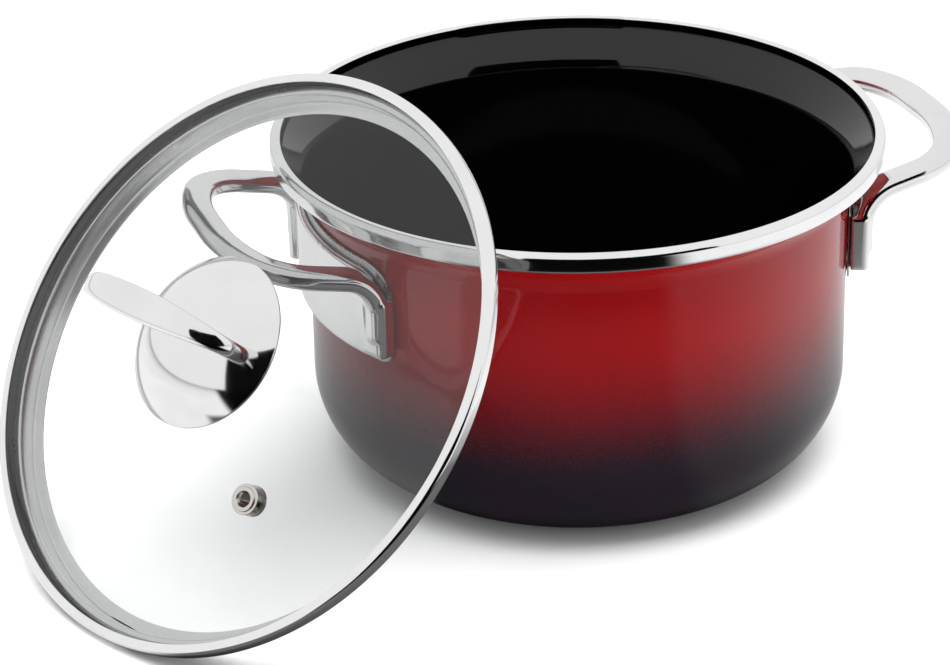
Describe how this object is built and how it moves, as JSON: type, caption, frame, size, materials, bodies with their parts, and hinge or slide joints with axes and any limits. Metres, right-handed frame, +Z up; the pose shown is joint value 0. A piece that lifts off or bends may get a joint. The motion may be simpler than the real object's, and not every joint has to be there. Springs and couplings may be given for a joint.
{
  "type": "stock pot",
  "caption": "Round enamelled steel stock pot with a bright folded rim, polished loop handles on curved plates, and a loose domed glass lid with a steel edge, vent and arched knob.",
  "frame": {"origin": "middle of the pot's flat base, on the table", "axes": "+Z up the pot's axis, +X along the line through both handles towards the handle away from the lid, lid leaning on the -X side"},
  "size_m": [0.4105, 0.2898, 0.182],
  "materials": {
    "enamel": "vitreous enamel, gloss red that fades to near black at the foot, gloss black inside",
    "stainless_trim": "polished stainless sheet",
    "stainless_bracket": "satin stainless sheet",
    "polished_handle": "polished cast steel",
    "stud_steel": "plain turned steel",
    "lid_glass": "clear tempered glass",
    "vent_steel": "bright pressed steel",
    "knob_steel": "polished stainless",
    "seal": "translucent white silicone"
  },
  "bodies": {
    "pot": {"pot_body": "enamel", "rim_ring": "stainless_trim", "right_bracket": "stainless_bracket", "left_bracket": "stainless_bracket", "right_handle": "polished_handle", "left_handle": "polished_handle", "right_handle_studs": "stud_steel", "left_handle_studs": "stud_steel"},
    "lid": {"lid_glass": "lid_glass", "lid_band": "stainless_trim", "vent_eyelet": "vent_steel", "vent_gasket": "seal", "vent_washer": "vent_steel", "knob_dome": "knob_steel", "knob_hub": "stud_steel", "knob_loop": "knob_steel", "knob_screw": "stud_steel", "knob_washer": "stud_steel", "knob_outer_gasket": "seal", "knob_inner_gasket": "seal"}
  },
  "joints": [
    {"name": "lid_lift", "type": "slide", "parent": "pot", "child": "lid", "axis": [-0.6913, -0.3097, 0.6529], "range_m": [0, 0.18]}
  ]
}
